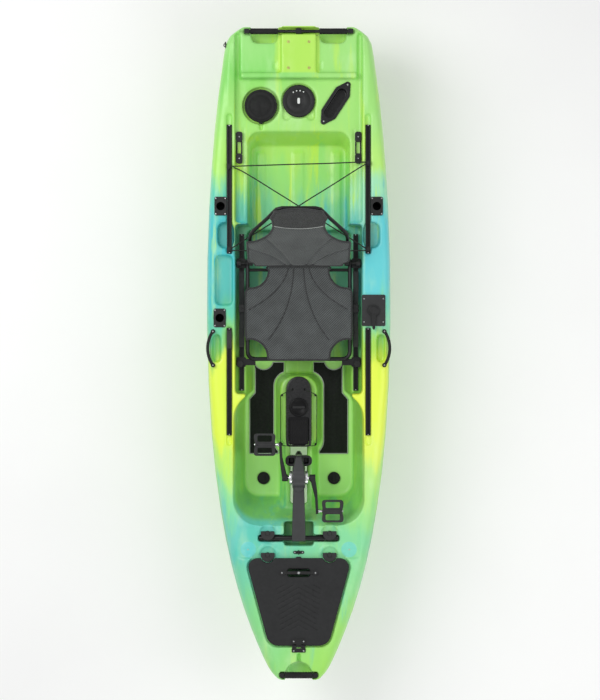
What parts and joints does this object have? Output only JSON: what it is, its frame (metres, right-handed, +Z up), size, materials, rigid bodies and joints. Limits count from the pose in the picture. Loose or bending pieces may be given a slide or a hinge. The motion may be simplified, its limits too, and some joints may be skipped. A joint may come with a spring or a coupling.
{
  "type": "pedal kayak",
  "caption": "Sit-on-top fishing kayak with a tilting pedal drive, sliding framed seat, hatches, gear tracks, rod holders and a lever-steered rudder.",
  "frame": {"origin": "on the flat of the keel, amidships, on the centreline", "axes": "+Y from bow to stern, +X to the boat's port side, +Z up"},
  "size_m": [0.912, 3.209, 0.9723],
  "materials": {
    "hull_plastic": "rotomoulded, marbled",
    "black_plastic": "moulded, satin",
    "grey_plastic": "moulded, satin",
    "lid_plastic": "moulded, fine grain",
    "soft_rubber": "matt",
    "foam_pad": "brushed foam",
    "anodised": "black anodised",
    "cast_metal": "powder coated",
    "bright_metal": "machined",
    "steel": "brushed",
    "brass_insert": "machined",
    "mesh_fabric": "woven mesh",
    "webbing": "woven webbing",
    "cord": "braided"
  },
  "bodies": {
    "hull": {"hull_shell": "hull_plastic", "gear_tracks": "anodised", "seat_rails": "anodised", "rod_holders": "black_plastic", "steering_plate": "grey_plastic", "side_handles": "black_plastic", "paddle_clips": "black_plastic", "round_hatch_rim": "black_plastic", "accessory_tray": "black_plastic", "threaded_inserts": "brass_insert", "handle_bars": "black_plastic", "handle_grips": "soft_rubber", "foot_pads": "foam_pad", "console_base": "black_plastic", "bungee_cords": "cord", "steering_cable": "cord", "cord_anchors": "black_plastic", "latch_posts": "steel", "bearing_blocks": "black_plastic", "hatch_seal": "soft_rubber", "hatch_hinge_base": "black_plastic", "deck_screws": "steel"},
    "steering_lever": {"steering_lever": "black_plastic"},
    "rudder": {"rudder": "grey_plastic"},
    "round_hatch_lid": {"round_hatch_lid": "soft_rubber"},
    "disc_hatch_lid": {"disc_hatch_lid": "grey_plastic"},
    "console_lid": {"console_lid": "grey_plastic"},
    "console_cap": {"console_cap": "black_plastic"},
    "drive_latch_left": {"drive_latch_left": "grey_plastic"},
    "drive_latch_right": {"drive_latch_right": "grey_plastic"},
    "hatch_latch_left": {"hatch_latch_left": "grey_plastic"},
    "hatch_latch_right": {"hatch_latch_right": "grey_plastic"},
    "front_hatch": {"front_hatch_lid": "lid_plastic", "hatch_pull": "black_plastic", "hatch_hinge_leaf": "black_plastic", "lid_screws": "steel"},
    "drive": {"drive_arm": "cast_metal", "cross_bar": "cast_metal", "drive_head": "cast_metal", "shaft_bearings": "bright_metal", "drive_cowl": "black_plastic", "drive_leg": "cast_metal"},
    "crankset": {"crank_axle": "bright_metal", "crank_arms": "black_plastic", "pedal_spindles": "steel", "head_rings": "bright_metal"},
    "pedal_left": {"pedal_left": "grey_plastic"},
    "pedal_right": {"pedal_right": "grey_plastic"},
    "vertical_shaft": {"vertical_shaft": "bright_metal"},
    "propeller": {"propeller": "grey_plastic"},
    "seat": {"seat_frame": "anodised", "seat_knobs": "black_plastic", "seat_sling": "mesh_fabric", "seat_straps": "webbing"},
    "backrest": {"back_frame": "anodised", "back_sling": "mesh_fabric"},
    "scupper_plug_left": {"scupper_plug_left": "black_plastic"},
    "scupper_plug_right": {"scupper_plug_right": "black_plastic"},
    "drain_plug": {"drain_plug": "black_plastic"},
    "track_cleat": {"track_cleat": "black_plastic"}
  },
  "joints": [
    {"name": "seat_slide", "type": "slide", "parent": "hull", "child": "seat", "axis": [0, 1, 0], "range_m": [-0.11, 0]},
    {"name": "back_fold", "type": "hinge", "parent": "seat", "child": "backrest", "pos_m": [0, 0.436, 0.306], "axis": [1, 0, 0], "range_deg": [-6, 88]},
    {"name": "front_hatch_hinge", "type": "hinge", "parent": "hull", "child": "front_hatch", "pos_m": [0, -1.43322, 0.41176], "axis": [1, 0, 0], "range_deg": [0, 110]},
    {"name": "round_hatch_lift", "type": "slide", "parent": "hull", "child": "round_hatch_lid", "axis": [0, 0, 1], "range_m": [0, 0.06]},
    {"name": "disc_hatch_turn", "type": "hinge", "parent": "hull", "child": "disc_hatch_lid", "pos_m": [0, 1.237, 0.29], "axis": [0, 0, 1], "range_deg": [0, 90]},
    {"name": "console_lid_hinge", "type": "hinge", "parent": "hull", "child": "console_lid", "pos_m": [0, -0.463, 0.255], "axis": [1, 0, 0], "range_deg": [0, 75]},
    {"name": "console_cap_turn", "type": "hinge", "parent": "hull", "child": "console_cap", "pos_m": [0, -0.277, 0.25], "axis": [0, 0, 1], "range_deg": [0, 90]},
    {"name": "drive_latch_left_turn", "type": "hinge", "parent": "hull", "child": "drive_latch_left", "pos_m": [-0.152, -0.892, 0.345], "axis": [0, 0, 1], "range_deg": [-170, 0]},
    {"name": "drive_latch_right_turn", "type": "hinge", "parent": "hull", "child": "drive_latch_right", "pos_m": [0.152, -0.892, 0.345], "axis": [0, 0, 1], "range_deg": [0, 170]},
    {"name": "hatch_latch_left_turn", "type": "hinge", "parent": "hull", "child": "hatch_latch_left", "pos_m": [-0.152, -0.998, 0.345], "axis": [0, 0, 1], "range_deg": [-170, 0]},
    {"name": "hatch_latch_right_turn", "type": "hinge", "parent": "hull", "child": "hatch_latch_right", "pos_m": [0.152, -0.998, 0.345], "axis": [0, 0, 1], "range_deg": [0, 170]},
    {"name": "drive_tilt", "type": "hinge", "parent": "hull", "child": "drive", "pos_m": [0, -0.918, 0.324], "axis": [1, 0, 0], "range_deg": [0, 30]},
    {"name": "crank_spin", "type": "hinge", "parent": "drive", "child": "crankset", "pos_m": [0, -0.62, 0.345], "axis": [1, 0, 0], "continuous": true},
    {"name": "pedal_left_spin", "type": "hinge", "parent": "crankset", "child": "pedal_left", "pos_m": [-0.167, -0.457, 0.345], "axis": [1, 0, 0], "continuous": true},
    {"name": "pedal_right_spin", "type": "hinge", "parent": "crankset", "child": "pedal_right", "pos_m": [0.167, -0.783, 0.345], "axis": [1, 0, 0], "continuous": true},
    {"name": "vertical_shaft_spin", "type": "hinge", "parent": "drive", "child": "vertical_shaft", "pos_m": [0, -0.62, 0.1], "axis": [0, 0, 1], "continuous": true},
    {"name": "propeller_spin", "type": "hinge", "parent": "drive", "child": "propeller", "pos_m": [0, -0.552, -0.15], "axis": [0, 1, 0], "continuous": true},
    {"name": "steering_turn", "type": "hinge", "parent": "hull", "child": "steering_lever", "pos_m": [0.368, 0.201, 0.345], "axis": [0, 0, 1], "range_deg": [-40, 40]},
    {"name": "rudder_turn", "type": "hinge", "parent": "hull", "child": "rudder", "pos_m": [0, 1.43, 0.1], "axis": [0, 0, 1], "range_deg": [-35, 35]},
    {"name": "scupper_plug_left_lift", "type": "slide", "parent": "hull", "child": "scupper_plug_left", "axis": [0, 0, 1], "range_m": [0, 0.06]},
    {"name": "scupper_plug_right_lift", "type": "slide", "parent": "hull", "child": "scupper_plug_right", "axis": [0, 0, 1], "range_m": [0, 0.06]},
    {"name": "drain_plug_pull", "type": "slide", "parent": "hull", "child": "drain_plug", "axis": [0, 1, 0], "range_m": [0, 0.04]},
    {"name": "track_cleat_slide", "type": "slide", "parent": "hull", "child": "track_cleat", "axis": [0, 1, 0], "range_m": [-0.38, 0]}
  ],
  "couplings": [
    {"joint": "vertical_shaft_spin", "follows": "crank_spin", "ratio": 4},
    {"joint": "propeller_spin", "follows": "crank_spin", "ratio": -10},
    {"joint": "rudder_turn", "follows": "steering_turn", "ratio": -0.875}
  ]
}
